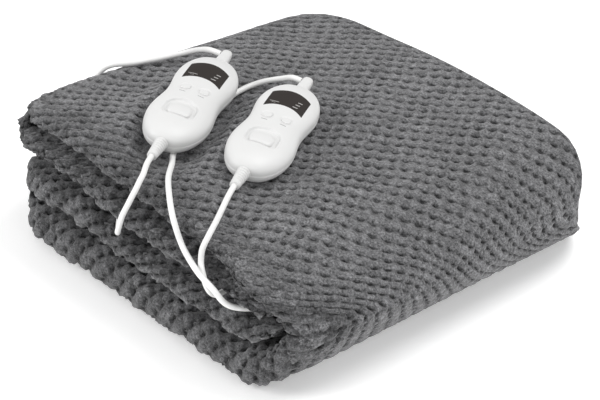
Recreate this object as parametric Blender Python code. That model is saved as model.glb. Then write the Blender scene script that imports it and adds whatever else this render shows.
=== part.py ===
"""A folded electric heated blanket with its two handset controllers and their cords.

Metres, +Z up. The origin is on the surface that the blanket lies on, under the middle of the blanket.
The rolled edges face -Y, the smooth outer wrap faces +X.
"""
import math

import bpy
import numpy as np
from mathutils import Euler

# --- blanket: driving dimensions -----------------------------------------------------------------
BLANKET_X = 0.400           # folded length, from the two small folds at -X to the outer wrap at +X
BLANKET_Y = 0.389           # folded width, from the rolled edges at -Y to the hems at +Y
STACK_THICKNESS = 0.0310    # one stack of four layers, before the folds are made uneven
SMALL_GAP = 0.0015          # between two stacks that lie on each other
BOOK_GAP = 0.0120           # between the two halves, where the cords are tucked in
PLAN_CORNER = 0.066         # rounding of the folded blanket's corners, seen from above
HEM_GROOVE = 0.014          # depth of the grooves between the layers' edges at +Y
HEM_LIP = 0.0012            # half the width of such a groove at its mouth
END_TURN = 68.0             # degrees of the inside of the wrap that the hidden free ends follow
HEM_ROUND = 0.0080          # from the +Y edge to where the layers' edges start to turn down
LOWER_SHIFT = 0.0080        # how far the lower half lies towards +X of the upper one, at the front
TOP_SET_BACK = 0.0110       # how far the top roll lies behind the roll below it, at the front
SET_BACK_END = (0.098, 0.150)    # x where it starts to fade, and where the top roll is level again

# Heights of the gaps between the four rolls and of the top, along the front edge (-Y), a row for
# each section across the blanket: x, gap low, gap middle, gap high, top.
FRONT_LEVELS = (
    (-0.170, 0.043, 0.089, 0.114, 0.131),
    (-0.100, 0.049, 0.095, 0.116, 0.139),
    (-0.030, 0.046, 0.079, 0.110, 0.136),
    (0.040, 0.046, 0.076, 0.105, 0.128),
    (0.110, 0.044, 0.081, 0.102, 0.119),
    (0.170, 0.046, 0.077, 0.096, 0.107),
)
# The same along the back edge (+Y), where the blanket is lower.
BACK_LEVELS = (
    (-0.170, 0.022, 0.046, 0.070, 0.089),
    (-0.100, 0.023, 0.048, 0.073, 0.095),
    (-0.030, 0.024, 0.051, 0.077, 0.101),
    (0.040, 0.025, 0.052, 0.079, 0.102),
    (0.110, 0.024, 0.050, 0.076, 0.099),
    (0.170, 0.023, 0.047, 0.070, 0.090),
)
WAVE_HEIGHT = 0.0014        # soft waves on the top and the sides
WAVE_X, WAVE_Y = 0.150, 0.190
SEAT_ACROSS, SEAT_ALONG = 0.033, 0.072    # half sizes of the flat place under a handset

# --- handsets: driving dimensions ----------------------------------------------------------------
CASE_LENGTH, CASE_WIDTH = 0.142, 0.064
CASE_SQUARENESS = 2.5       # 2 is an ellipse, more is squarer
WAIST_DEPTH = 0.20          # how much of the width the waist takes away
WAIST_PLACE, WAIST_SPREAD = 0.06, 0.38    # as parts of half the length
CASE_PARTING = 0.0106       # height of the line where the housings meet
CASE_TOP = 0.0243
CASE_CROWN = 2.6            # fullness of the domed top
CLEARANCE = 0.0003
SEAT_GAP = 0.0004           # between a handset and the cloth below it
# name, centre x, y, z of the underside, turn about Z, lean about its own length (degrees),
# depth of the hollow that its weight and the cord below it press into the cloth
HANDSETS = (
    ("left", -0.0678, -0.0676, 0.1247, 29.0, 10.0, 0.0066),
    ("right", 0.0095, -0.0398, 0.1200, 28.5, 10.0, 0.0),
)

# Front of the handset, in its own plane: x across, y along its length towards the boot.
WINDOW = {"half": 0.0180, "low": 0.0176, "high": 0.0426, "rise": 0.0062, "floor": 0.0195}
BUTTON = {"x": 0.0088, "y": 0.0045, "width": 0.0084, "height": 0.0076, "raise": 0.0006, "floor": 0.0180}
SLOT = {"half": 0.0130, "low": -0.0400, "high": -0.0210, "rise": 0.0058, "floor": 0.0208}
PAD = {"half": 0.0110, "low": -0.0392, "high": -0.0268, "rise": 0.0042, "raise": 0.0016}
BUTTON_TRAVEL = 0.0008
PAD_TRAVEL = 0.0050
# Underside: how far each ring of it stands in from the outline, and its height.
UNDER_RINGS = ((0.0100, 0.0), (0.0060, 0.0010), (0.0024, 0.0038), (0.0005, 0.0076), (0.0, CASE_PARTING))
BOOT = {"y": 0.0640, "length": 0.0275, "wide": 0.0064, "narrow": 0.0047, "axis": 0.0122}
BOOT_RINGS = ((0.0, 1.0), (0.35, 1.0), (0.8, 1.0), (0.94, 0.86), (1.0, 0.6))    # along it, share of width
RELIEF = {"y": -0.0715, "length": 0.0210, "wide": 0.0062, "narrow": 0.0038, "axis": 0.0115, "ribs": 5}
RELIEF_GROOVE = 0.0007

# --- cords: driving dimensions -------------------------------------------------------------------
CORD_DIAMETER = 0.0052
# Routes of the cords' middle lines, from the handset to where they end in a fold or at a coil: the
# left handset's lead goes over the -X edge, the right one's goes under the left handset, over the
# rolls and back through the gap between the two halves.
LEFT_MAINS_ROUTE = (
    (-0.1125, 0.0062, 0.1377), (-0.1205, 0.0035, 0.1385), (-0.1305, 0.0035, 0.1355),
    (-0.1480, 0.0040, 0.1265), (-0.1590, 0.0000, 0.1205), (-0.1660, -0.0065, 0.1175),
    (-0.1705, -0.0160, 0.1165), (-0.1750, -0.0300, 0.1170), (-0.1820, -0.0435, 0.1165),
    (-0.1910, -0.0540, 0.1155), (-0.1985, -0.0600, 0.1110), (-0.2025, -0.0650, 0.1040),
    (-0.2055, -0.0725, 0.0905), (-0.2075, -0.0800, 0.0715), (-0.2080, -0.0845, 0.0495),
    (-0.2085, -0.0855, 0.0305), (-0.2095, -0.0830, 0.0185), (-0.2105, -0.0775, 0.0105),
    (-0.2120, -0.0695, 0.0055), (-0.2150, -0.0565, 0.0030), (-0.2195, -0.0365, 0.0030),
    (-0.2213, -0.0150, 0.0030), (-0.2215, 0.0047, 0.0030),
)
LEFT_BLANKET_ROUTE = (
    (-0.0211, -0.1478, 0.1360), (-0.0120, -0.1610, 0.1365), (-0.0025, -0.1720, 0.1362),
    (-0.0005, -0.1765, 0.1345), (0.0020, -0.1825, 0.1305), (0.0025, -0.1880, 0.1245),
    (0.0015, -0.1935, 0.1155), (-0.0010, -0.1970, 0.1065), (-0.0045, -0.1975, 0.0960),
    (-0.0090, -0.1960, 0.0870), (-0.0135, -0.1930, 0.0815), (-0.0180, -0.1890, 0.0784),
    (-0.0250, -0.1830, 0.0779), (-0.0395, -0.1695, 0.0791),
)
RIGHT_MAINS_ROUTE = (
    (-0.0345, 0.0344, 0.1330), (-0.0425, 0.0320, 0.1337), (-0.0540, 0.0305, 0.1285),
    (-0.0705, 0.0185, 0.1220), (-0.0740, -0.0105, 0.1195), (-0.0690, -0.0310, 0.1181),
    (-0.0590, -0.0595, 0.1190), (-0.0470, -0.0885, 0.1198), (-0.0360, -0.1100, 0.1195),
    (-0.0265, -0.1205, 0.1220), (-0.0085, -0.1360, 0.1288), (0.0105, -0.1550, 0.1338),
    (0.0300, -0.1705, 0.1340), (0.0530, -0.1850, 0.1255), (0.0650, -0.1865, 0.1065),
    (0.0760, -0.1905, 0.1040), (0.1003, -0.1993, 0.1033), (0.1145, -0.2012, 0.1005),
    (0.1240, -0.1988, 0.0935), (0.1320, -0.1932, 0.0828), (0.1430, -0.1720, 0.0760),
    (0.1425, -0.1605, 0.0755), (0.1225, -0.1400, 0.0750), (0.0940, -0.1270, 0.0745),
    (0.0685, -0.1150, 0.0720), (0.0560, -0.1040, 0.0705), (0.0475, -0.0870, 0.0695),
    (0.0270, -0.0640, 0.0685), (0.0050, -0.0440, 0.0670), (-0.0200, -0.0250, 0.0665),
    (-0.0700, 0.0080, 0.0675), (-0.0960, 0.0220, 0.0680), (-0.1230, 0.0340, 0.0660),
    (-0.1525, 0.0430, 0.0630), (-0.1810, 0.0485, 0.0610), (-0.1995, 0.0520, 0.0590),
    (-0.2145, 0.0585, 0.0400), (-0.2178, 0.0620, 0.0215), (-0.2208, 0.0725, 0.0047),
    (-0.2215, 0.0808, 0.0030),
)
RIGHT_BLANKET_ROUTE = (
    (0.0555, -0.1204, 0.1313), (0.0605, -0.1295, 0.1303), (0.0685, -0.1440, 0.1262),
    (0.0780, -0.1585, 0.1247), (0.0865, -0.1710, 0.1250), (0.0900, -0.1775, 0.1235),
    (0.0915, -0.1820, 0.1205), (0.0920, -0.1860, 0.1155), (0.0925, -0.1880, 0.1080),
    (0.0950, -0.1905, 0.1035), (0.1020, -0.1945, 0.0995), (0.1075, -0.1970, 0.0955),
    (0.1105, -0.1975, 0.0920), (0.1120, -0.1960, 0.0875), (0.1120, -0.1930, 0.0835),
    (0.1115, -0.1885, 0.0800), (0.1100, -0.1805, 0.0785), (0.1080, -0.1640, 0.0775),
)
# Each cord's route and how many points its tube has.
ROUTES = {
    "left_mains_cord": (LEFT_MAINS_ROUTE, 44),
    "left_blanket_cord": (LEFT_BLANKET_ROUTE, 28),
    "right_mains_cord": (RIGHT_MAINS_ROUTE, 80),
    "right_blanket_cord": (RIGHT_BLANKET_ROUTE, 34),
}
# Coils of the mains leads behind the blanket: middle of the coil, turns beside and on each other,
# which way the short tail runs, how far out in y it starts, and the plug's middle line in x.
COIL_RADIUS = 0.0285        # middle of the turns
COILS = (
    {"side": "left", "x": -0.2545, "y": 0.0220, "across": 3, "layers": 3, "way": -1, "reach": 0.0165,
     "plug_x": -0.2800},
    {"side": "right", "x": -0.2545, "y": 0.1000, "across": 3, "layers": 2, "way": 1, "reach": 0.0192,
     "plug_x": -0.2290},
)
TAIL_SIDE = 0.0330          # from the coil's middle to where the tail starts, in x; in y it is "reach"
TAIL_LENGTH = 0.0280
TAIL_BENDS = ((0.0, 0.0), (0.25, 0.08), (0.55, 0.60), (0.80, 0.95), (1.0, 1.0))  # along, aside
PLUG = {"length": 0.0360, "axis": 0.0071}
# The plug's rings from its neck to its face: share of its length, half width, half thickness.
PLUG_RINGS = ((0.0, 0.0055, 0.0046), (0.30, 0.0075, 0.0052), (0.55, 0.0165, 0.0064),
              (0.64, 0.0176, 0.0068), (1.0, 0.0176, 0.0068))
PIN = {"length": 0.0190, "radius": 0.0020, "spread": 0.0093}


# --- helpers -------------------------------------------------------------------------------------
def clear_scene():
    for old in list(bpy.data.objects):
        bpy.data.objects.remove(old, do_unlink=True)


def material(name, colour, roughness, metallic=0.0):
    made = bpy.data.materials.new(name)
    made.use_nodes = True
    shader = made.node_tree.nodes["Principled BSDF"]
    shader.inputs["Base Color"].default_value = (*colour, 1.0)
    shader.inputs["Roughness"].default_value = roughness
    shader.inputs["Metallic"].default_value = metallic
    return made


def add_object(name, data, finish, parent=None, smooth_angle=None):
    obj = bpy.data.objects.new(name, data)
    bpy.context.scene.collection.objects.link(obj)
    if finish:
        data.materials.append(finish)
    if smooth_angle:
        data.shade_smooth()
        data.set_sharp_from_angle(angle=math.radians(smooth_angle))
    obj.parent = parent
    return obj


def add_mesh(name, points, faces, finish, parent=None, smooth_angle=40):
    mesh = bpy.data.meshes.new(name)
    mesh.from_pydata([tuple(p) for p in points], [], faces)
    mesh.validate()
    return add_object(name, mesh, finish, parent, smooth_angle)


def tube_faces(stations, around):
    """Faces of a closed tube: rings of points in turn, with a flat cap on the first and last ring."""
    faces = []
    for i in range(stations - 1):
        for j in range(around):
            k = (j + 1) % around
            a, b = i * around, (i + 1) * around
            faces.append((a + j, a + k, b + k, b + j))
    faces.append(tuple(reversed(range(around))))
    faces.append(tuple(range((stations - 1) * around, stations * around)))
    return faces


def ring_faces(stations, around):
    """Faces of a closed ring: the last ring of points joins the first again."""
    faces = []
    for i in range(stations):
        for j in range(around):
            k = (j + 1) % around
            a, b = i * around, ((i + 1) % stations) * around
            faces.append((a + j, b + j, b + k, a + k))
    return faces


def as_cutter(obj):
    obj.hide_render = True
    obj.display_type = "WIRE"
    return obj


def boolean(obj, other, operation):
    cut = obj.modifiers.new(operation.title(), "BOOLEAN")
    cut.operation = operation
    cut.solver = "EXACT"
    cut.object = other


def smooth_step(value, low, high):
    t = np.clip((value - low) / (high - low), 0.0, 1.0)
    return t * t * (3 - 2 * t)


def smooth_rows(table, x):
    """Each column of a table against its first one, as a curve through the rows (Catmull-Rom)."""
    rows = np.array(table)
    knots, values = rows[:, 0], rows[:, 1:]
    slopes = np.gradient(values, knots, axis=0)
    x = np.clip(x, knots[0], knots[-1])
    i = np.clip(np.searchsorted(knots, x) - 1, 0, len(knots) - 2)
    width = (knots[i + 1] - knots[i])[:, None]
    t = (x - knots[i])[:, None] / width
    start = values[i] * (1 + 2 * t) * (1 - t) ** 2 + slopes[i] * width * t * (1 - t) ** 2
    return start + values[i + 1] * t**2 * (3 - 2 * t) + slopes[i + 1] * width * t**2 * (t - 1)


# --- blanket -------------------------------------------------------------------------------------
HALF = STACK_THICKNESS / 2
LEVEL_LOW = STACK_THICKNESS + SMALL_GAP / 2                       # between roll 4 and roll 3
LEVEL_MIDDLE = 2 * STACK_THICKNESS + SMALL_GAP + BOOK_GAP / 2     # between the two halves
LEVEL_HIGH = 2 * LEVEL_MIDDLE - LEVEL_LOW                         # between roll 2 and roll 1
LEVEL_TOP = 2 * LEVEL_MIDDLE
SMALL_RADIUS = HALF + SMALL_GAP / 2                               # middle line of the folds at -X
WRAP_RADIUS = LEVEL_MIDDLE - HALF                                 # middle line of the wrap at +X
FOLD_X = -BLANKET_X / 2 + SMALL_RADIUS + HALF
WRAP_X = BLANKET_X / 2 - LEVEL_MIDDLE
ARM_STEPS, TOP_STEPS, SMALL_STEPS, WRAP_STEPS, END_STEPS = 8, 15, 8, 13, 5


def arc(centre_x, centre_z, radius, first, last, steps):
    """Points of an arc with their outward normals, angles in degrees from +X towards +Z."""
    angles = np.radians(np.linspace(first, last, steps + 1))
    normals = np.stack([np.cos(angles), np.sin(angles)], 1)
    return np.array([centre_x, centre_z]) + radius * normals, normals


def half_path():
    """Middle line of the upper half of the folded strip, from its hidden free end, which is rounded
    to lie against the inside of the wrap, to the wrap's apex.

    Rows of x, z, normal x, normal z, share of the full thickness."""
    low_z = LEVEL_HIGH - SMALL_RADIUS
    high_z = LEVEL_HIGH + SMALL_RADIUS
    inside = WRAP_RADIUS - HALF - SMALL_GAP
    turn = np.radians(np.linspace(END_TURN, 0, END_STEPS + 1))
    share = (inside * np.cos(turn) - BOOK_GAP / 2) / STACK_THICKNESS
    rows = [(WRAP_X + inside * math.sin(angle), low_z - HALF * (1 - part), 0.0, -1.0, part)
            for angle, part in zip(turn, share)]
    rows += [(x, low_z, 0.0, -1.0, 1.0) for x in np.linspace(WRAP_X, FOLD_X, ARM_STEPS + 1)[1:]]
    points, normals = arc(FOLD_X, LEVEL_HIGH, SMALL_RADIUS, 270, 90, SMALL_STEPS)
    rows += [(*p, *n, 1.0) for p, n in zip(points[1:], normals[1:])]
    rows += [(x, high_z, 0.0, 1.0, 1.0) for x in np.linspace(FOLD_X, WRAP_X, TOP_STEPS + 1)[1:]]
    points, normals = arc(WRAP_X, LEVEL_MIDDLE, WRAP_RADIUS, 90, 0, WRAP_STEPS // 2 + 1)
    rows += [(*p, *n, 1.0) for p, n in zip(points[1:], normals[1:])]
    return np.array(rows)


def full_path():
    """The upper half, then its mirror image below the middle, walked back to the other free end."""
    upper = half_path()
    lower = upper[-2::-1].copy()
    lower[:, 1] = 2 * LEVEL_MIDDLE - lower[:, 1]
    lower[:, 3] = -lower[:, 3]
    return np.concatenate([upper, lower])


def stack_section():
    """Outline of a stack of layers across the blanket: y, and height in the stack from -HALF to HALF.

    The front edge is one round nose. The back edge shows two single hems and one fold."""
    edge = BLANKET_Y / 2
    nose = -edge + HALF
    over = [(y, HALF) for y in np.linspace(edge - HEM_ROUND, nose, 13)]
    turn = np.radians(np.linspace(90, 270, 9))[1:-1]
    front = [(nose + HALF * math.cos(a), HALF * math.sin(a)) for a in turn]
    under = [(y, -HALF) for y in np.linspace(nose, edge - HEM_ROUND, 9)]
    fold = [(edge - 0.002, -HALF + 0.0035), (edge, -HALF / 2), (edge - 0.001, -0.0035)]
    hems = []
    for level in (0.0, HALF / 2):
        hems += [(edge - 0.004, level - HEM_LIP), (edge - HEM_GROOVE, level), (edge - 0.004, level + HEM_LIP)]
        hems.append((edge - 0.0005, level + HALF / 4))
    hems.append((edge - 0.003, HALF - 0.001))
    return np.array(over + front + under + fold + hems)


def seated_top(x, y, top):
    """Lowers or lifts the top under each handset to the handset's own plane, and hollows it there."""
    for _, cx, cy, cz, turn, lean, hollow in HANDSETS:
        angle, tilt = math.radians(turn), math.radians(lean)
        dx, dy = x - cx, y - cy
        across = dx * math.cos(angle) + dy * math.sin(angle)
        along = -dx * math.sin(angle) + dy * math.cos(angle)
        plane = cz - across * math.tan(tilt) - SEAT_GAP
        reach = np.sqrt((across / SEAT_ACROSS) ** 2 + (along / SEAT_ALONG) ** 2)
        plane -= hollow * (1 - smooth_step(reach, 0.95, 1.35))
        weight = 1 - smooth_step(reach, 1.0, 1.8)
        top = top * (1 - weight) + plane * weight
    return top


def settle(points):
    """Takes evenly folded cloth to its real, uneven shape: rounded corners, rolls of unequal
    thickness, a top that falls away from the front left corner, and soft waves."""
    x, y, z = np.array(points).T
    inset = np.clip((np.abs(x) - (BLANKET_X / 2 - PLAN_CORNER)) / PLAN_CORNER, 0, 1)
    y = y * (1 - PLAN_CORNER / (BLANKET_Y / 2) * (1 - np.sqrt(1 - inset**2)))
    back = np.clip(y / BLANKET_Y + 0.5, 0, 1)
    levels = smooth_rows(FRONT_LEVELS, x) * (1 - back)[:, None] + smooth_rows(BACK_LEVELS, x) * back[:, None]
    lower = 1 - smooth_step(z, LEVEL_MIDDLE - 0.006, LEVEL_MIDDLE + 0.006)
    upper = smooth_step(z, LEVEL_HIGH - 0.004, LEVEL_HIGH + 0.004)
    x = x + LOWER_SHIFT * lower * (1 - back)
    y = y + TOP_SET_BACK * upper * (1 - back) ** 2 * (1 - smooth_step(x, *SET_BACK_END))
    wave = WAVE_HEIGHT * np.sin(2 * math.pi * x / WAVE_X + 1) * np.sin(2 * math.pi * y / WAVE_Y)
    levels[:, 3] = seated_top(x, y, levels[:, 3] + wave)
    nominal = (0.0, LEVEL_LOW, LEVEL_MIDDLE, LEVEL_HIGH, LEVEL_TOP)
    real = np.insert(levels, 0, 0.0, axis=1)
    level = np.zeros(len(z))
    for i in range(4):
        share = (z - nominal[i]) / (nominal[i + 1] - nominal[i])
        inside = (share >= 0) & ((share < 1) | (i == 3))
        level = np.where(inside, real[:, i] * (1 - share) + real[:, i + 1] * share, level)
    return np.stack([x, y, level], 1)


def build_blanket(finish):
    path, section = full_path(), stack_section()
    points = []
    for x, z, nx, nz, share in path:
        for y, height in section:
            points.append((x + nx * height * share, y, z + nz * height * share))
    points = settle(points)
    return add_mesh("blanket", points, tube_faces(len(path), len(section)), finish, None, 50)


# --- handset -------------------------------------------------------------------------------------
def case_outline(shrink=0.0, squeeze=1.0, count=48):
    """Peanut outline of the handset: an oval whose width has a dip at the waist."""
    points = []
    for a in np.linspace(0, 2 * math.pi, count, endpoint=False):
        c, s = math.cos(a), math.sin(a)
        u = math.copysign(abs(s) ** (2 / CASE_SQUARENESS), s)
        dip = 1 - WAIST_DEPTH * math.exp(-(((u - WAIST_PLACE) / WAIST_SPREAD) ** 2))
        half_width = (CASE_WIDTH / 2 * dip - shrink) * squeeze
        half_length = CASE_LENGTH / 2 - shrink - (1 - squeeze) * CASE_WIDTH / 2
        points.append((half_width * math.copysign(abs(c) ** (2 / CASE_SQUARENESS), c), half_length * u))
    return points


def loft(name, rings, finish, parent, smooth_angle=40):
    """A closed solid through rings of equal count, each a list of (x, y) at a height z, from below."""
    points = [(x, y, z) for outline, z in rings for x, y in outline]
    return add_mesh(name, points, tube_faces(len(rings), len(rings[0][0])), finish, parent, smooth_angle)


def dome_rings(first_z, lift=0.0):
    rise = CASE_TOP - CASE_PARTING
    rings = [(case_outline(), first_z), (case_outline(), first_z + 0.0008)]
    for squeeze in (0.97, 0.90, 0.80, 0.65, 0.45, 0.22):
        z = CASE_PARTING + rise * (1 - squeeze**CASE_CROWN) ** (1 / CASE_CROWN) + lift
        rings.append((case_outline(squeeze=squeeze), z))
    return rings


def prism(name, outline, low, high, finish, parent):
    return loft(name, [(outline, low), (outline, high)], finish, parent)


def arched_outline(half, low, high, rise, low_rise, grow=0.0, count=9):
    """Outline with straight sides and an arched top and bottom, each rising in the middle."""
    xs = np.linspace(-1, 1, count)
    bottom = [(x * (half + grow), low - grow + low_rise * (1 - x * x)) for x in xs]
    top = [(x * (half + grow), high + grow + rise * (1 - x * x)) for x in reversed(xs)]
    return bottom + top


def rounded_box(x, y, width, height, corner=0.0018, grow=0.0):
    points = []
    for sx, sy, first in ((1, 1, 0), (-1, 1, 90), (-1, -1, 180), (1, -1, 270)):
        for a in np.radians(np.linspace(first, first + 90, 4)):
            cx = x + sx * (width / 2 - corner)
            cy = y + sy * (height / 2 - corner)
            points.append((cx + (corner + grow) * math.cos(a), cy + (corner + grow) * math.sin(a)))
    return points


def window_outline(grow=0.0):
    return arched_outline(WINDOW["half"], WINDOW["low"], WINDOW["high"], WINDOW["rise"], WINDOW["rise"], grow)


def button_outline(side, grow=0.0):
    return rounded_box(side * BUTTON["x"], BUTTON["y"], BUTTON["width"], BUTTON["height"], grow=grow)


def pad_outline():
    return arched_outline(PAD["half"], PAD["low"], PAD["high"], PAD["rise"], 0.0)


def slot_outline():
    return arched_outline(SLOT["half"], SLOT["low"], SLOT["high"], SLOT["rise"], 0.0)


def inlay(name, outline, floor, lift, finish, parent):
    """A piece that fills its pocket and whose face follows the domed top, raised by a lift."""
    form = as_cutter(loft(name + "_form", dome_rings(CASE_PARTING + CLEARANCE, lift), None, parent))
    piece = prism(name, outline, floor, CASE_TOP + 0.006, finish, parent)
    boolean(piece, form, "INTERSECT")
    return piece


def build_boot(name, finish, parent):
    rings = []
    for share, scale in BOOT_RINGS:
        y = BOOT["y"] + share * BOOT["length"]
        half = (BOOT["wide"] + (BOOT["narrow"] - BOOT["wide"]) * share) * scale
        ring = rounded_box(0, BOOT["axis"], 2 * half, 1.8 * half, corner=0.5 * half)
        rings.append([(x, y, z) for x, z in ring])
    points = [p for ring in rings for p in ring]
    faces = [tuple(reversed(face)) for face in tube_faces(len(rings), len(rings[0]))]
    boot = add_mesh(name, points, faces, finish, parent)
    room = as_cutter(prism(name + "_room", case_outline(-CLEARANCE), -0.002, CASE_TOP + 0.002, None, parent))
    boolean(boot, room, "DIFFERENCE")
    return boot


def build_relief(name, finish, parent, around=14):
    """A ribbed cone turned about the handset's length."""
    profile = [(0.0, RELIEF["wide"])]
    pitch = RELIEF["length"] * 0.8 / RELIEF["ribs"]
    for i in range(RELIEF["ribs"]):
        for share, groove in ((0.45, 0.0), (0.60, RELIEF_GROOVE), (0.90, RELIEF_GROOVE), (1.0, 0.0)):
            along = (i + share) * pitch
            radius = RELIEF["wide"] + (RELIEF["narrow"] - RELIEF["wide"]) * along / RELIEF["length"]
            profile.append((along, radius - groove))
    profile.append((RELIEF["length"], RELIEF["narrow"]))
    points = []
    for along, radius in profile:
        for a in np.linspace(0, 2 * math.pi, around, endpoint=False):
            points.append((radius * math.cos(a), RELIEF["y"] - along, RELIEF["axis"] + radius * math.sin(a)))
    return add_mesh(name, points, tube_faces(len(profile), around), finish, parent, 30)


def build_handset(side, cx, cy, cz, turn, lean, finishes):
    base = bpy.data.objects.new(f"handset_{side}", None)
    bpy.context.scene.collection.objects.link(base)
    base.location = (cx, cy, cz)
    base.rotation_mode = "XYZ"
    base.rotation_euler = (Euler((0, 0, math.radians(turn))).to_matrix()
                           @ Euler((0, math.radians(lean), 0)).to_matrix()).to_euler()
    white, grey, dark = finishes["case"], finishes["keys"], finishes["window"]
    loft(f"{side}_case_bottom", [(case_outline(inset), z) for inset, z in UNDER_RINGS], white, base)
    top = loft(f"{side}_case_top", dome_rings(CASE_PARTING + CLEARANCE), white, base)
    pockets = [(window_outline(CLEARANCE), WINDOW["floor"] - CLEARANCE), (slot_outline(), SLOT["floor"])]
    pockets += [(button_outline(s, CLEARANCE), BUTTON["floor"]) for s in (-1, 1)]
    for i, (outline, floor) in enumerate(pockets):
        pocket = as_cutter(prism(f"{side}_pocket_{i}", outline, floor, CASE_TOP + 0.004, None, base))
        boolean(top, pocket, "DIFFERENCE")
    inlay(f"{side}_window", window_outline(), WINDOW["floor"], 0.0, dark, base)
    for s, label in ((-1, "a"), (1, "b")):
        floor = BUTTON["floor"] + BUTTON_TRAVEL + CLEARANCE
        inlay(f"{side}_button_{label}", button_outline(s), floor, BUTTON["raise"], grey, base)
    inlay(f"{side}_slide", pad_outline(), SLOT["floor"] + CLEARANCE, PAD["raise"], grey, base)
    build_boot(f"{side}_boot", white, base)
    build_relief(f"{side}_relief", white, base)
    return base


# --- cords ---------------------------------------------------------------------------------------
def smooth_route(route, count):
    """Points along a natural cubic spline through a route's points, closer together in its bends."""
    knots = np.array(route)
    gaps = np.sqrt(np.linalg.norm(np.diff(knots, axis=0), axis=1))
    place = np.concatenate([[0.0], np.cumsum(gaps)])
    n = len(knots)
    system, right = np.eye(n), np.zeros((n, 3))
    for i in range(1, n - 1):
        system[i, i - 1:i + 2] = gaps[i - 1], 2 * (gaps[i - 1] + gaps[i]), gaps[i]
        right[i] = 6 * ((knots[i + 1] - knots[i]) / gaps[i] - (knots[i] - knots[i - 1]) / gaps[i - 1])
    bends = np.linalg.solve(system, right)
    t = np.linspace(0, place[-1], count)
    i = np.clip(np.searchsorted(place, t) - 1, 0, n - 2)
    width, before, after = gaps[i][:, None], (t - place[i])[:, None], (place[i + 1] - t)[:, None]
    curve = (bends[i] * after**3 + bends[i + 1] * before**3) / (6 * width)
    curve += (knots[i] / width - bends[i] * width / 6) * after
    return curve + (knots[i + 1] / width - bends[i + 1] * width / 6) * before


def build_cord(name, route, count, finish):
    data = bpy.data.curves.new(name, "CURVE")
    data.dimensions = "3D"
    data.bevel_depth = CORD_DIAMETER / 2
    data.bevel_resolution = 2
    data.use_fill_caps = True
    points = smooth_route(route, count)
    spline = data.splines.new("POLY")
    spline.points.add(len(points) - 1)
    for target, place in zip(spline.points, points):
        target.co = (*place, 1.0)
    return add_object(name, data, finish)


def build_coil(name, coil, finish, stations=30, around=12):
    """The coil's outer shape: an oval section turned about the upright axis through its middle."""
    half_across = coil["across"] * CORD_DIAMETER / 2
    half_high = coil["layers"] * CORD_DIAMETER / 2
    points = []
    for turn in np.linspace(0, 2 * math.pi, stations, endpoint=False):
        for a in np.linspace(0, 2 * math.pi, around, endpoint=False):
            radius = COIL_RADIUS + half_across * math.cos(a)
            height = half_high * (1 + math.sin(a)) + CLEARANCE / 2
            points.append((coil["x"] + radius * math.cos(turn), coil["y"] + radius * math.sin(turn), height))
    return add_mesh(name, points, ring_faces(stations, around), finish)


def build_tail(side, coil, finish):
    """The short end of the lead, from its coil to the plug."""
    way = coil["way"]
    x, y = coil["x"] + way * TAIL_SIDE, coil["y"] + way * coil["reach"]
    low = CORD_DIAMETER / 2 + CLEARANCE
    shift, rise = coil["plug_x"] - x, PLUG["axis"] - low
    bends = [(x + shift * aside, y + way * TAIL_LENGTH * along, low + rise * aside)
             for along, aside in TAIL_BENDS]
    build_cord(f"{side}_tail", bends, 9, finish)


def build_plug(side, coil, finish, pin_finish):
    """A flat plug with two round pins, lying on the surface."""
    way = coil["way"]
    neck_y = coil["y"] + way * (coil["reach"] + TAIL_LENGTH + CLEARANCE)
    points = []
    for share, half, thick in PLUG_RINGS:
        y = neck_y + way * share * PLUG["length"]
        ring = rounded_box(coil["plug_x"], PLUG["axis"], 2 * half, 2 * thick, corner=0.8 * thick)
        points += [(x, y, z) for x, z in ring]
    faces = tube_faces(len(PLUG_RINGS), len(points) // len(PLUG_RINGS))
    if way > 0:
        faces = [tuple(reversed(face)) for face in faces]
    add_mesh(f"{side}_plug", points, faces, finish)
    pin_y = neck_y + way * (PLUG["length"] + CLEARANCE + PIN["length"] / 2)
    for label, across in (("a", -1), ("b", 1)):
        bpy.ops.mesh.primitive_cylinder_add(
            vertices=12, radius=PIN["radius"], depth=PIN["length"], rotation=(math.pi / 2, 0, 0),
            location=(coil["plug_x"] + across * PIN["spread"], pin_y, PLUG["axis"]))
        pin = bpy.context.object
        pin.name = f"{side}_pin_{label}"
        pin.data.materials.append(pin_finish)
        pin.data.shade_smooth()
        pin.data.set_sharp_from_angle(angle=math.radians(40))


def main():
    clear_scene()
    fleece = material("fleece", (0.16, 0.16, 0.165), 0.95)
    finishes = {
        "case": material("case_plastic", (0.82, 0.82, 0.80), 0.35),
        "keys": material("key_plastic", (0.80, 0.80, 0.79), 0.40),
        "window": material("window_plastic", (0.045, 0.038, 0.037), 0.25),
    }
    sheath = material("cord_sheath", (0.75, 0.75, 0.74), 0.45)
    nickel = material("pin_metal", (0.72, 0.70, 0.66), 0.25, 1.0)
    build_blanket(fleece)
    for side, cx, cy, cz, turn, lean, _ in HANDSETS:
        build_handset(side, cx, cy, cz, turn, lean, finishes)
    for name, (route, count) in ROUTES.items():
        build_cord(name, route, count, sheath)
    for coil in COILS:
        build_coil(f"{coil['side']}_coil", coil, sheath)
        build_tail(coil["side"], coil, sheath)
        build_plug(coil["side"], coil, sheath, nickel)


main()
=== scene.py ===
import math

import bpy
import numpy as np
from mathutils import Matrix, Vector


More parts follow.
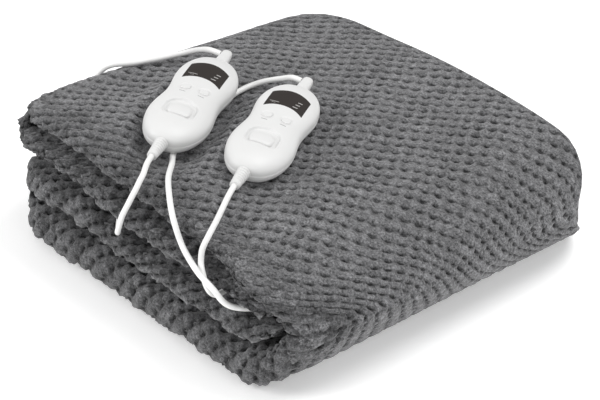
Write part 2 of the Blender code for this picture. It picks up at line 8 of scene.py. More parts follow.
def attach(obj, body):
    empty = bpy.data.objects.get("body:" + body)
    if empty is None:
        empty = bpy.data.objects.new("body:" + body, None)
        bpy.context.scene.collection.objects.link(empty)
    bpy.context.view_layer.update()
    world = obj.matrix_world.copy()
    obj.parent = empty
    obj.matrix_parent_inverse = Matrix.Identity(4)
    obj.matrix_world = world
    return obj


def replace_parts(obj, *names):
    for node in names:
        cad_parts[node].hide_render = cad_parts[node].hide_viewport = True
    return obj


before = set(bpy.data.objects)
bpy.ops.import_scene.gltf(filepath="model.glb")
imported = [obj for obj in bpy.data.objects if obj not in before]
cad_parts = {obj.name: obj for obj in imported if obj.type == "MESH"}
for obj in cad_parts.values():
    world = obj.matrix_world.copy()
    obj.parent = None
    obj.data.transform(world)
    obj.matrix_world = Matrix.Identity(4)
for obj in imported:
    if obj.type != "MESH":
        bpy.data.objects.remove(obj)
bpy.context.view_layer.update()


# Camera, floor and light

view = {
    "target": (0.0076, -0.0044, 0.0437),
    "azimuth": 48.6,
    "elevation": 33.06,
    "distance": 2.595,
    "lens": 174.8,
    "sensor": 36.0,
    "farClip": 50.0,
}
studio = {
    "floorColour": (0.97, 0.97, 0.97),
    "floorHalf": 6.0,
    "floorGlow": 0.26,
    "floorRoughness": 0.9,
    "skyStrength": 0.52,
    "keyPower": 30.0,
    "keyPlace": (0.5, 0.9, 2.2),
    "keySize": 1.6,
    "fillPower": 9.0,
    "fillPlace": (1.9, -0.3, 1.1),
    "fillSize": 1.6,
    "frontPower": 27.0,
    "frontPlace": (-0.9, -1.9, 1.2),
    "frontSize": 1.2,
}


def addObject(name, data):
    obj = bpy.data.objects.new(name, data)
    bpy.context.scene.collection.objects.link(obj)
    return obj


def addCamera():
    # The camera stands at the target plus its distance in the direction of its azimuth and elevation.
    azimuth, elevation = math.radians(view["azimuth"]), math.radians(view["elevation"])
    back = Vector((math.sin(azimuth) * math.cos(elevation), -math.cos(azimuth) * math.cos(elevation),
                   math.sin(elevation)))
    data = bpy.data.cameras.new("camera")
    data.sensor_width = view["sensor"]
    data.lens = view["lens"]
    data.clip_end = view["farClip"]
    camera = addObject("camera", data)
    camera.location = Vector(view["target"]) + back * view["distance"]
    camera.rotation_euler = back.to_track_quat("Z", "Y").to_euler()
    bpy.context.scene.camera = camera


def addAreaLight(name, place, power, size):
    # A round soft light that looks at the origin.
    data = bpy.data.lights.new(name, "AREA")
    data.energy = power
    data.shape = "DISK"
    data.size = size
    light = addObject(name, data)
    light.location = place
    light.rotation_euler = Vector(place).to_track_quat("Z", "Y").to_euler()


def addStudio():
    # White surroundings, three soft lights and a pale floor with a little glow of its own.
    world = bpy.data.worlds.new("studio")
    world.use_nodes = True
    world.node_tree.nodes["Background"].inputs["Color"].default_value = (1.0, 1.0, 1.0, 1.0)
    world.node_tree.nodes["Background"].inputs["Strength"].default_value = studio["skyStrength"]
    bpy.context.scene.world = world
    bpy.context.scene.view_settings.view_transform = "Standard"
    for name in ("key", "fill", "front"):
        addAreaLight(name, studio[name + "Place"], studio[name + "Power"], studio[name + "Size"])
    reach = studio["floorHalf"]
    mesh = bpy.data.meshes.new("floor")
    mesh.from_pydata([(-reach, -reach, 0), (reach, -reach, 0), (reach, reach, 0), (-reach, reach, 0)], [],
                     [(0, 1, 2, 3)])
    paper, _, shader = newMaterial("paper")
    setSockets(shader, {"Base Color": (*studio["floorColour"], 1.0), "Emission Color": (1.0, 1.0, 1.0, 1.0),
                        "Emission Strength": studio["floorGlow"], "Roughness": studio["floorRoughness"]})
    mesh.materials.append(paper)
    floor = addObject("floor", mesh)
    print("camera, floor and lights")


# Shader helpers

def newMaterial(name):
    made = bpy.data.materials.new(name)
    made.use_nodes = True
    return made, made.node_tree, made.node_tree.nodes["Principled BSDF"]


def setSockets(shader, values):
    for name, value in values.items():
        shader.inputs[name].default_value = value


def addNode(tree, kind, inputs=None, **settings):
    # A node with its settings, whose inputs are numbers, colours or other nodes' outputs.
    node = tree.nodes.new(kind)
    for name, value in settings.items():
        setattr(node, name, value)
    for key, value in (inputs or {}).items():
        if isinstance(value, bpy.types.NodeSocket):
            tree.links.new(value, node.inputs[key])
        else:
            node.inputs[key].default_value = value
    return node


def mathNode(tree, operation, first, second=0.0, third=0.0):
    return addNode(tree, "ShaderNodeMath", {0: first, 1: second, 2: third}, operation=operation).outputs[0]


def noiseNode(tree, place, scale, detail, **extra):
    settings = {"Vector": place, "Scale": scale, "Detail": detail}
    return addNode(tree, "ShaderNodeTexNoise", {**settings, **extra}).outputs[0]


def mouldedGroup():
    # Grain of a moulded or extruded plastic, shared by the cases, keys, prints and cords. The tone is the colour
    # times 1 - mottle / 2 + mottle * soft noise, the roughness moves by its spread with the same noise, and a
    # fine noise is the height of the bump.
    group = bpy.data.node_groups.new("moulded_grain", "ShaderNodeTree")
    for name, kind in (("Place", "Vector"), ("Colour", "Color"), ("Soft Scale", "Float"), ("Grain Scale", "Float"),
                       ("Mottle", "Float"), ("Roughness", "Float"), ("Roughness Spread", "Float"),
                       ("Grain Strength", "Float"), ("Grain Depth", "Float")):
        group.interface.new_socket(name, in_out="INPUT", socket_type="NodeSocket" + kind)
    for name, kind in (("Colour", "Color"), ("Roughness", "Float"), ("Normal", "Vector")):
        group.interface.new_socket(name, in_out="OUTPUT", socket_type="NodeSocket" + kind)
    given = group.nodes.new("NodeGroupInput").outputs
    made = group.nodes.new("NodeGroupOutput").inputs
    soft = noiseNode(group, given["Place"], given["Soft Scale"], 3.0)
    grain = noiseNode(group, given["Place"], given["Grain Scale"], 2.0)
    base = mathNode(group, "MULTIPLY_ADD", given["Mottle"], -0.5, 1.0)
    tone = mathNode(group, "MULTIPLY_ADD", soft, given["Mottle"], base)
    shade = addNode(group, "ShaderNodeVectorMath", {0: given["Colour"], "Scale": tone}, operation="SCALE")
    low = mathNode(group, "MULTIPLY_ADD", given["Roughness Spread"], -0.5, given["Roughness"])
    bump = addNode(group, "ShaderNodeBump", {"Strength": given["Grain Strength"], "Distance": given["Grain Depth"],
                                             "Height": grain})
    group.links.new(shade.outputs[0], made["Colour"])
    group.links.new(mathNode(group, "MULTIPLY_ADD", soft, given["Roughness Spread"], low), made["Roughness"])
    group.links.new(bump.outputs[0], made["Normal"])
    return group


def placeGrain(tree, shader, values, outputs):
    # The moulded grain in one material, with its own values, feeding the named sockets of the shader.
    node = addNode(tree, "ShaderNodeGroup", node_tree=mouldedGrain)
    tree.links.new(addNode(tree, "ShaderNodeTexCoord").outputs["Object"], node.inputs["Place"])
    setSockets(node, values)
    for name, socket in outputs.items():
        tree.links.new(node.outputs[name], shader.inputs[socket])


mouldedGrain = mouldedGroup()


# Cloth: the folded blanket

cloth = {
    "lengthX": 0.400,  # the folded blanket from above
    "lengthY": 0.389,
    "stack": 0.0310,  # height of four layers
    "smallGap": 0.0015,  # inside the folded ends
    "bookGap": 0.0120,  # inside the book fold
    "planCorner": 0.066,  # radius of the corners from above
    "endTurn": 68.0,  # where the hidden free ends stop in the wrap, in degrees
    "lowerShift": 0.0080,  # of the lower rolls at the front, towards +X
    "topSetBack": 0.0110,  # of the top roll at the front, towards +Y
    "setBackEnd": (0.098, 0.150),  # from and to this x it fades
    "lowerBlend": 0.006,  # half heights over which both come in
    "upperBlend": 0.004,
    "waveHeight": 0.0014,  # swell of the top, and its wave lengths
    "waveX": 0.150,
    "waveY": 0.190,
    "seatAcross": 0.033,  # half sizes of the place under a handset
    "seatAlong": 0.072,
    "seatGap": 0.0004,
    "hollowEdge": (0.95, 1.35),  # shares of it between which the hollow fades, then the seat
    "seatEdge": (1.0, 1.8),
    "sheetShare": 0.86,  # of a layer, which the sheet fills
    "hemInset": 0.0020,  # of the outer and the inner hem from the back edge
    "innerHemInset": 0.0050,
    "hemShare": 0.55,  # of the thickness at a hem, and the way to all of it
    "hemReach": 0.006,
    "freeEnd": 0.060,  # length of the hidden free ends that get thinner
    "fineStep": 0.0026,  # of the grid where the cloth shows
    "fineRows": 12,  # of that step past the front rolls, where the sheet is hidden
    "hiddenSteps": (0.019, 0.0021, 0.024, 0.0030, 0.026),  # from there to the inner hem
}
# Along the front edge (-Y): x, the gaps between the four rolls from below, and the top.
frontLevels = (
    (-0.170, 0.043, 0.089, 0.114, 0.131),
    (-0.100, 0.049, 0.095, 0.116, 0.139),
    (-0.030, 0.046, 0.079, 0.110, 0.136),
    (0.040, 0.046, 0.076, 0.105, 0.128),
    (0.110, 0.044, 0.081, 0.102, 0.119),
    (0.170, 0.046, 0.077, 0.096, 0.107),
)
# The same along the back edge (+Y).
backLevels = (
    (-0.170, 0.022, 0.046, 0.070, 0.089),
    (-0.100, 0.023, 0.048, 0.073, 0.095),
    (-0.030, 0.024, 0.051, 0.077, 0.101),
    (0.040, 0.025, 0.052, 0.079, 0.102),
    (0.110, 0.024, 0.050, 0.076, 0.099),
    (0.170, 0.023, 0.047, 0.070, 0.090),
)
# Handsets: name, centre x, y, z of the underside, turn and lean in degrees, hollow in the cloth.
handsets = (
    ("left", -0.0678, -0.0676, 0.1247, 29.0, 10.0, 0.0066),
    ("right", 0.0095, -0.0398, 0.1200, 28.5, 10.0, 0.0),
)
halfStack = cloth["stack"] / 2
levelLow = cloth["stack"] + cloth["smallGap"] / 2
levelMiddle = 2 * cloth["stack"] + cloth["smallGap"] + cloth["bookGap"] / 2
levelHigh = 2 * levelMiddle - levelLow
smallRadius = halfStack + cloth["smallGap"] / 2
wrapRadius = levelMiddle - halfStack
foldX = -cloth["lengthX"] / 2 + smallRadius + halfStack
wrapX = cloth["lengthX"] / 2 - levelMiddle
layer = cloth["stack"] / 4
sheetHalf = layer * cloth["sheetShare"] / 2
insideWrap = wrapRadius - halfStack - cloth["smallGap"]
fineStep = cloth["fineStep"]
blockSteps = 4  # steps of a hidden face along the stack
edge = cloth["lengthY"] / 2
nose = -edge + halfStack  # where the outer layers start to turn round the front
backTurn = edge - cloth["hemInset"] - layer  # where the inner layers turn at the back


def smoothStep(value, low, high):
    # 3 t^2 - 2 t^3, where t is the value's share of the way from low to high.
    t = np.clip((value - low) / (high - low), 0.0, 1.0)
    return t * t * (3 - 2 * t)


def smoothRows(table, x):
    # Each column of a table against its first one, as a curve through the rows (Catmull-Rom).
    rows = np.array(table)
    knots, values = rows[:, 0], rows[:, 1:]
    slopes = np.gradient(values, knots, axis=0)
    x = np.clip(x, knots[0], knots[-1])
    i = np.clip(np.searchsorted(knots, x) - 1, 0, len(knots) - 2)
    width = (knots[i + 1] - knots[i])[:, None]
    t = (x - knots[i])[:, None] / width
    start = values[i] * (1 + 2 * t) * (1 - t) ** 2 + slopes[i] * width * t * (1 - t) ** 2
    return start + values[i + 1] * t**2 * (3 - 2 * t) + slopes[i + 1] * width * t**2 * (t - 1)


def seatedTop(x, y, top):
    # Lowers or lifts the top under each handset to the handset's own plane, and hollows it there.
    for _, cx, cy, cz, turn, lean, hollow in handsets:
        angle, tilt = math.radians(turn), math.radians(lean)
        dx, dy = x - cx, y - cy
        across = dx * math.cos(angle) + dy * math.sin(angle)
        along = -dx * math.sin(angle) + dy * math.cos(angle)
        plane = cz - across * math.tan(tilt) - cloth["seatGap"]
        reach = np.sqrt((across / cloth["seatAcross"]) ** 2 + (along / cloth["seatAlong"]) ** 2)
        plane -= hollow * (1 - smoothStep(reach, *cloth["hollowEdge"]))
        weight = 1 - smoothStep(reach, *cloth["seatEdge"])
        top = top * (1 - weight) + plane * weight
    return top


def settle(points):
    # Takes evenly folded cloth to its real, uneven shape, as the solid does: its corners are rounded from above,
    # the lower and the top rolls shift, and heights go in proportion between the real levels of the folds.
    x, y, z = points.T
    corner = cloth["planCorner"]
    inset = np.clip((np.abs(x) - (cloth["lengthX"] / 2 - corner)) / corner, 0, 1)
    y = y * (1 - corner / edge * (1 - np.sqrt(1 - inset**2)))
    back = np.clip(y / cloth["lengthY"] + 0.5, 0, 1)
    levels = smoothRows(frontLevels, x) * (1 - back)[:, None] + smoothRows(backLevels, x) * back[:, None]
    lower = 1 - smoothStep(z, levelMiddle - cloth["lowerBlend"], levelMiddle + cloth["lowerBlend"])
    upper = smoothStep(z, levelHigh - cloth["upperBlend"], levelHigh + cloth["upperBlend"])
    x = x + cloth["lowerShift"] * lower * (1 - back)
    y = y + cloth["topSetBack"] * upper * (1 - back) ** 2 * (1 - smoothStep(x, *cloth["setBackEnd"]))
    wave = cloth["waveHeight"] * np.sin(2 * math.pi * x / cloth["waveX"] + 1) * np.sin(
        2 * math.pi * y / cloth["waveY"])
    levels[:, 3] = seatedTop(x, y, levels[:, 3] + wave)
    nominal = (0.0, levelLow, levelMiddle, levelHigh, 2 * levelMiddle)
    real = np.insert(levels, 0, 0.0, axis=1)
    height = np.zeros(len(z))
    for i in range(4):
        share = (z - nominal[i]) / (nominal[i + 1] - nominal[i])
        inside = (share >= 0) & ((share < 1) | (i == 3))
        height = np.where(inside, real[:, i] * (1 - share) + real[:, i + 1] * share, height)
    return np.stack([x, y, height], 1)


def arcPoints(cx, cz, radius, first, last):
    # An arc from one angle to another, in degrees, as 25 points.
    angles = np.radians(np.linspace(first, last, 25))
    return np.stack([cx + radius * np.cos(angles), cz + radius * np.sin(angles)], 1)


def measured(points):
    # A line's points, without doubles, and the length along it at each.
    points = points[np.insert(np.linalg.norm(np.diff(points, axis=0), axis=1) > 1e-7, 0, True)]
    place = np.concatenate([[0], np.cumsum(np.linalg.norm(np.diff(points, axis=0), axis=1))])
    return points, place


def along(line, place, at):
    # Points of a measured line at the given lengths, and its unit tangents over 0.8 mm.
    behind, point, ahead = [np.stack([np.interp(at + shift, place, line[:, k]) for k in (0, 1)], 1)
                            for shift in (-4e-4, 0.0, 4e-4)]
    tangent = ahead - behind
    return point, tangent / np.linalg.norm(tangent, axis=1)[:, None]


def stackLine():
    # The middle line of the whole folded stack, from the lower hidden free end to the upper one, in x and z.
    # Each half is a hidden arm, a small fold at -X, the outer arm and a quarter of the wrap at +X.
    tip = wrapX + insideWrap * math.sin(math.radians(cloth["endTurn"]))
    low, high = levelHigh - smallRadius, levelHigh + smallRadius
    upper = [np.array([(tip, low), (foldX, low)]), arcPoints(foldX, levelHigh, smallRadius, 270, 90),
             np.array([(foldX, high), (wrapX, high)]), arcPoints(wrapX, levelMiddle, wrapRadius, 90, 0)]
    upper = np.concatenate(upper)
    lower = upper[::-1] * np.array([1, -1]) + np.array([0, 2 * levelMiddle])
    return measured(np.concatenate([upper, lower])[::-1])


def sheetLine():
    # The sheet's middle line across one stack of four layers, from the outer hem at +Y to the inner one: y and
    # the height in the stack.
    runs = [np.array([(edge - cloth["hemInset"], 1.5 * layer), (nose, 1.5 * layer)]),
            arcPoints(nose, 0, 1.5 * layer, 90, 270),
            np.array([(nose, -1.5 * layer), (backTurn, -1.5 * layer)]),
            arcPoints(backTurn, -layer, layer / 2, -90, 90),
            np.array([(backTurn, -layer / 2), (nose, -layer / 2)]),
            arcPoints(nose, 0, layer / 2, 270, 90),
            np.array([(nose, layer / 2), (edge - cloth["innerHemInset"], layer / 2)])]
    return measured(np.concatenate(runs))


def spaced(marks):
    # Growing lengths from mark to mark, each stretch with its own step.
    places = [np.array([0.0])]
    for end, step in marks:
        start = places[-1][-1]
        count = max(1, round((end - start) / step))
        places.append(np.linspace(start, end, count + 1)[1:])
    return np.concatenate(places)


# The tufts: their lattice's pitch both ways and its size in fine steps, and their relief in metres. What has
# "roll" in its name is for the rolled folds at the front, where the pile is rougher.
tufts = {
    "pitch": (0.0130, 0.0110),
    "latticeSteps": (7, 3),
    "wander": 0.0011,
    "ripple": 0.0008,
    "dimpleDepth": 0.0027,
    "dimpleBow": 45.0,
    "dimpleHalf": (0.0024, 0.0036),
    "dimpleUneven": (0.45, 0.25),
    "dimpleRoll": 0.3,
    "rise": 0.0004,
    "grooveDepth": 0.0006,
    "grooveHalf": 0.0020,
    "grooveShare": (0.35, 0.45),
    "grooveRollShare": 0.35,
    "grooveRollDepth": 0.0015,
    "rollLumps": (0.0008, 0.0007, 0.0011),
    "rollFlat": 0.012,
    "rollReach": 0.034,
    "tousle": 0.0003,
}


def latticePlace(u, v):
    # Place in the tuft lattice, whose two directions run at about 45 degrees to the cloth's edges. Slow and
    # quick sine drifts make it a little uneven.
    wander, ripple = tufts["wander"], tufts["ripple"]
    driftU = wander * np.sin(u / 0.021 + 2.1 * np.sin(v / 0.033)) + ripple * np.sin(v / 0.011 + u / 0.017)
    driftV = wander * np.sin(v / 0.019 + 1.7 * np.sin(u / 0.029)) + ripple * np.sin(u / 0.012 - v / 0.015)
    u, v = u + driftU, v + driftV
    across, down = tufts["latticeSteps"]
    slanted = (u + v) / (across * fineStep)
    return slanted, u / (down * fineStep) - slanted


def tuftRelief(a, b, onRoll):
    # How far the pile lies under its tufts' tops: tufts like scales, highest at their lower ends, a wide
    # crescent dimple below each, faint grooves between the rows, and deep ones with lumps on the rolls. Dimples
    # and grooves are bell curves of the distance from the lattice's points and lines, and the unevenness is
    # sines of the place or of the row.
    pitchA, pitchB = tufts["pitch"]
    rowA, rowB = np.round(a), np.round(b)
    da, db = (a - rowA) * pitchA, (b - rowB) * pitchB
    halfA, halfB = tufts["dimpleHalf"]
    dimple = np.exp(-((da + tufts["dimpleBow"] * db**2) / halfA) ** 2 - (db / halfB) ** 2)
    most, least = tufts["dimpleUneven"]
    uneven = 1 + most * np.sin(12.9 * rowA + 7.3 * rowB) + least * np.sin(4.1 * rowA - 9.7 * rowB)
    groove = np.maximum(*[(share + tufts["grooveRollShare"] * onRoll) * np.exp(-(off / tufts["grooveHalf"]) ** 2)
                          for share, off in zip(tufts["grooveShare"], (da, db))])
    tuft = np.sin(5.1 * np.floor(a) + 11.7 * np.floor(b))
    tousle = np.sin(9.1 * a + 2 * np.sin(5.3 * b)) * np.sin(8.3 * b + 2 * np.sin(6.1 * a))
    lumps = np.sin(2.3 * a + 1.9 * np.sin(1.7 * b)) * np.sin(2.9 * b + 1.3 * np.sin(2.1 * a))
    depth = tufts["dimpleDepth"] * dimple * uneven * (1 + tufts["dimpleRoll"] * onRoll)
    depth += tufts["rise"] * (1 - (a - np.floor(a))) * (1 - onRoll)
    depth += groove * (tufts["grooveDepth"] + tufts["grooveRollDepth"] * onRoll * (0.6 + 0.5 * tousle))
    for height, bumps in zip(tufts["rollLumps"], (tuft, tousle, lumps)):
        depth += height * (1 + bumps) * onRoll
    return depth + tufts["tousle"] * (1 + tousle)


def buildCloth():
    # The sheet's section, carried along the stack's line: each point is the line's point plus the normal times
    # the section's height, with the section's y. Then it settles, and the relief goes in along the normals.
    pathLine, pathPlace = stackLine()
    acrossLine, acrossPlace = sheetLine()
    pathLength, width = pathPlace[-1], acrossPlace[-1]
    s = np.linspace(0, pathLength, blockSteps * round(pathLength / fineStep / blockSteps) + 1)
    # Lengths across the sheet where the top ends, the nose ends, and the inner layers turn.
    topEnd = edge - cloth["hemInset"] - nose
    noseEnd = topEnd + math.pi * 1.5 * layer
    backFold = noseEnd + backTurn - nose
    innerTurn = math.pi * layer / 2
    innerNose = backFold + innerTurn + backTurn - nose
    fineEnd = noseEnd + cloth["fineRows"] * fineStep
    ends = (backFold, backFold + innerTurn, innerNose, innerNose + innerTurn, width)
    v = spaced([(fineEnd, fineStep), *zip(ends, cloth["hiddenSteps"])])
    # The sheet's other side, never seen, has every fifth of the small steps.
    inner = v[::-1]
    fineCount = round(fineEnd / fineStep)
    back = np.concatenate([inner[:-fineCount - 1], inner[-fineCount - 1::5], inner[-1:]])
    back = back[np.insert(np.diff(back) < -1e-6, 0, True)]
    # Both sides of the sheet, one after the other, with a rounded hem between them.
    turn = np.radians([-60.0, -30.0, 0.0, 30.0, 60.0])
    across = np.concatenate([v, np.full(5, width), back, np.zeros(5)])
    side = np.concatenate([np.ones(len(v)), -np.sin(turn), -np.ones(len(back)), np.sin(turn)])
    over = np.concatenate([np.zeros(len(v)), np.cos(turn), np.zeros(len(back)), -np.cos(turn)])
    section, tangent = along(acrossLine, acrossPlace, across)
    normal = np.stack([-tangent[:, 1], tangent[:, 0]], 1) * -1
    fromHem = np.minimum(across, width - across) / cloth["hemReach"]
    thin = np.clip(cloth["hemShare"] + (1 - cloth["hemShare"]) * fromHem, 0, 1)
    section = section + (normal * side[:, None] + tangent * over[:, None]) * (sheetHalf * thin)[:, None]
    path, pathTangent = along(pathLine, pathPlace, s)
    pathNormal = np.stack([pathTangent[:, 1], -pathTangent[:, 0]], 1)
    # The hidden free ends get thinner, as the inside of the wrap leaves them room.
    fromEnd = np.minimum(s, pathLength - s)
    ahead = np.where(fromEnd < cloth["freeEnd"], np.clip((path[:, 0] - wrapX) / insideWrap, 0, 1), 0.0)
    share = (insideWrap * np.sqrt(1 - ahead**2) - cloth["bookGap"] / 2) / cloth["stack"]
    sink = halfStack * (1 - share) * np.where(s < pathLength / 2, 1.0, -1.0)
    grid = np.empty((len(s), len(across), 3))
    grid[:, :, 0] = path[:, :1] + pathNormal[:, :1] * section[:, 1] * share[:, None]
    grid[:, :, 1] = section[:, 0]
    grid[:, :, 2] = (path[:, 1] + sink)[:, None] + pathNormal[:, 1:] * section[:, 1] * share[:, None]
    grid = settle(grid.reshape(-1, 3)).reshape(grid.shape)
    # Tufts, pressed into the outer side of the sheet.
    alongPath = np.gradient(grid, axis=0)
    outward = np.cross(alongPath, np.roll(grid, -1, axis=1) - np.roll(grid, 1, axis=1))
    outward /= np.maximum(np.linalg.norm(outward, axis=2, keepdims=True), 1e-12)
    uu, vv = np.meshgrid(s, across, indexing="ij")
    a, b = latticePlace(pathLength - uu, vv)
    fromRoll = np.maximum(np.abs(vv - (topEnd + noseEnd) / 2) - tufts["rollFlat"], 0)
    relief = tuftRelief(a, b, np.exp(-((fromRoll / tufts["rollReach"]) ** 2)))
    relief *= (side > 0.99) & (across < noseEnd + (cloth["fineRows"] - 1) * fineStep)
    grid = grid - outward * relief[:, :, None]
    print("cloth grid", grid.shape)
    return grid, np.stack([a, b], 2), relief, across, side, (topEnd, noseEnd), s


def clothMesh():
    # The grid's faces: small ones where the cloth shows, and one for each block of four stations elsewhere,
    # whose border takes in the points of its fine neighbour.
    grid, uv, relief, across, side, (topEnd, noseEnd), s = buildCloth()
    stations, count = grid.shape[:2]
    block, pathLength = blockSteps, s[-1]
    blocks = (stations - 1) // block
    arm = pathLength / 2 - math.pi * wrapRadius / 2 - (wrapX - foldX) - math.pi * smallRadius
    fine = np.zeros((blocks, count), bool)
    middle = (s[:-1:block] + s[block::block]) / 2
    nextAcross = np.roll(across, -1)
    outer = (side > 0.99) & (np.roll(side, -1) > 0.99)
    margin = (cloth["fineRows"] - 3) * fineStep
    topside = outer & (nextAcross < noseEnd + margin)
    front = topside & (across > topEnd - margin)
    shows = (middle > pathLength / 2 - math.pi * wrapRadius / 2) & (middle < pathLength - arm)
    folds = (middle > arm) & (middle < arm + math.pi * smallRadius)
    fine[:] = front
    fine[shows | folds] = topside
    faces = []
    for i in range(blocks):
        low, high = i * block * count, (i + 1) * block * count
        for j in range(count):
            k = (j + 1) % count
            if fine[i, j]:
                for q in range(block):
                    r = low + q * count
                    faces.append((r + j, r + count + j, r + count + k, r + k))
                continue
            ring = [low + j]
            if fine[i, j - 1]:
                ring += [low + q * count + j for q in range(1, block)]
            ring += [high + j, high + k]
            if fine[i, k]:
                ring += [low + q * count + k for q in range(block - 1, 0, -1)]
            ring.append(low + k)
            faces.append(tuple(ring))
    # Flat ends, one polygon each, between the two sides of the sheet.
    faces += [tuple(range(count)), tuple(range((stations - 1) * count, stations * count))[::-1]]
    return grid.reshape(-1, 3), uv.reshape(-1, 2), relief.ravel(), faces


def compactMesh(name, points, uv, depth, faces):
    # A mesh of the points that its faces use, with their depth in the pile and a UV for each corner.
    used = np.unique(np.concatenate([np.array(face) for face in faces]))
    renumber = np.full(len(points), -1)
    renumber[used] = np.arange(len(used))
    mesh = bpy.data.meshes.new(name)
    mesh.from_pydata(points[used].tolist(), [], [tuple(renumber[list(face)].tolist()) for face in faces])
    layerUv = mesh.uv_layers.new(name="lattice")
    corners = np.empty(len(mesh.loops), np.int32)
    mesh.loops.foreach_get("vertex_index", corners)
    layerUv.data.foreach_set("uv", uv[used][corners].astype(np.float32).ravel())
    mesh.attributes.new("pile_depth", "FLOAT", "POINT").data.foreach_set("value", depth[used].astype(np.float32))
    mesh.shade_smooth()
    return mesh


# Fleece: lengths for the drawn dimples in millimetres, noise scales, and for each effect on the tone or the
# height of the pile its gain and offset. The dimple and scallop tones and the pile depth shade are painted shade,
# darker in the hollows of the pile; the noise tones differ at random.
fleece = {
    "colour": (0.165, 0.165, 0.170),
    "roughness": 0.95,
    "sheen": 0.25,
    "sheenRoughness": 0.45,
    "specular": 0.15,
    "dimpleBow": 0.045,
    "dimpleHalf": (1.7, 3.3),
    "dimpleWander": 3.0,
    "scallopNarrow": -1.6,
    "wanderScale": 300.0,
    "pileScale": 500.0,
    "clumpScale": 170.0,
    "broadScale": 16.0,
    "pileTone": (4.4, -1.2),
    "clumpTone": (1.8, 0.10),
    "broadTone": (0.5, 0.75),
    # Painted shade: the dimple and scallop tones darken the crescents under the tufts.
    "dimpleTone": (-0.70, 1.0),
    "scallopTone": (-0.08, 1.0),
    # Painted shade: darker where the pile lies deeper, down to the deepest shade.
    "pileDepthShade": (-120.0, 1.0),
    "deepestShade": 0.35,
    "pileHeight": 0.55,
    "dimpleHeight": -0.9,
    "clumpHeight": 0.5,
    "scallopHeight": -0.12,
    "bumpDistance": 0.0022,
}


def addFleece():
    # The colour is scaled by a tone, a product of noise at three sizes, of painted shade in the dimples and along
    # their crescents, and of painted shade where the pile lies deeper.
    # A dimple is a bell curve of the distance from a bowed line under each tuft, found from the lattice's UV.
    made, tree, shader = newMaterial("fleece")
    setSockets(shader, {"Roughness": fleece["roughness"], "Sheen Weight": fleece["sheen"],
                        "Sheen Roughness": fleece["sheenRoughness"], "Specular IOR Level": fleece["specular"]})
    uv = addNode(tree, "ShaderNodeUVMap", uv_map="lattice").outputs[0]
    place = addNode(tree, "ShaderNodeTexCoord").outputs["Object"]
    parts = addNode(tree, "ShaderNodeSeparateXYZ", {0: uv})
    near = []
    for axis, pitch in zip(("X", "Y"), tufts["pitch"]):
        share = mathNode(tree, "FRACT", mathNode(tree, "ADD", parts.outputs[axis], 1000.5))
        near.append(mathNode(tree, "MULTIPLY", mathNode(tree, "SUBTRACT", share, 0.5), pitch * 1000))
    bowed = mathNode(tree, "MULTIPLY_ADD", mathNode(tree, "MULTIPLY", near[1], near[1]), fleece["dimpleBow"],
                     near[0])
    wander = noiseNode(tree, place, fleece["wanderScale"], 2.0)
    bowed = mathNode(tree, "ADD", bowed, mathNode(
        tree, "MULTIPLY_ADD", wander, fleece["dimpleWander"], -fleece["dimpleWander"] / 2))
    tall, wide = [mathNode(tree, "POWER", mathNode(tree, "ABSOLUTE", mathNode(tree, "DIVIDE", off, reach)), 2.0)
                  for off, reach in zip((bowed, near[1]), fleece["dimpleHalf"])]
    dimple = mathNode(tree, "EXPONENT", mathNode(tree, "MULTIPLY", mathNode(tree, "ADD", tall, wide), -1.0))
    scallop = mathNode(tree, "EXPONENT", mathNode(tree, "MULTIPLY", tall, fleece["scallopNarrow"]))
    pile = noiseNode(tree, place, fleece["pileScale"], 3.0, Roughness=0.75)
    clump = noiseNode(tree, place, fleece["clumpScale"], 3.0, Roughness=0.6)
    broad = noiseNode(tree, place, fleece["broadScale"], 2.0)
    deep = addNode(tree, "ShaderNodeAttribute", attribute_name="pile_depth").outputs["Fac"]
    tone = mathNode(tree, "MULTIPLY_ADD", pile, *fleece["pileTone"])
    # Clump and broad noise are random tone; the dimple and scallop factors are painted shade in the hollows.
    for name, effect in (("clump", clump), ("broad", broad), ("dimple", dimple), ("scallop", scallop)):
        effect = mathNode(tree, "MULTIPLY_ADD", effect, *fleece[name + "Tone"])
        tone = mathNode(tree, "MULTIPLY", tone, effect)
    # Painted shade in the grooves and dimples: the deeper the pile, the darker, down to the deepest shade.
    paintedShade = mathNode(tree, "MAXIMUM", mathNode(tree, "MULTIPLY_ADD", deep, *fleece["pileDepthShade"]), fleece["deepestShade"])
    tone = mathNode(tree, "MULTIPLY", tone, paintedShade)
    colour = addNode(tree, "ShaderNodeVectorMath", {0: fleece["colour"], "Scale": tone}, operation="SCALE")
    tree.links.new(colour.outputs[0], shader.inputs["Base Color"])
    height = mathNode(tree, "MULTIPLY", pile, fleece["pileHeight"])
    for name, effect in (("dimple", dimple), ("clump", clump), ("scallop", scallop)):
        height = mathNode(tree, "MULTIPLY_ADD", effect, fleece[name + "Height"], height)
    bump = addNode(tree, "ShaderNodeBump", {"Strength": 1.0, "Distance": fleece["bumpDistance"], "Height": height})
    tree.links.new(bump.outputs[0], shader.inputs["Normal"])
    return made


def addCloth():
    # The folded sheet, in the place of its solid.
    points, uv, depth, faces = clothMesh()
    mesh = compactMesh("blanket_cloth", points, uv, depth, faces)
    mesh.materials.append(addFleece())
    obj = addObject("blanket_cloth", mesh)
    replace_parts(obj, "blanket")
    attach(obj, "root")
    triangles = sum(len(p.vertices) - 2 for p in mesh.polygons)
    print("cloth", len(mesh.vertices), "points", triangles, "triangles")


# Cords: their routes are those of the solids, and the unseen length is wound in two coils

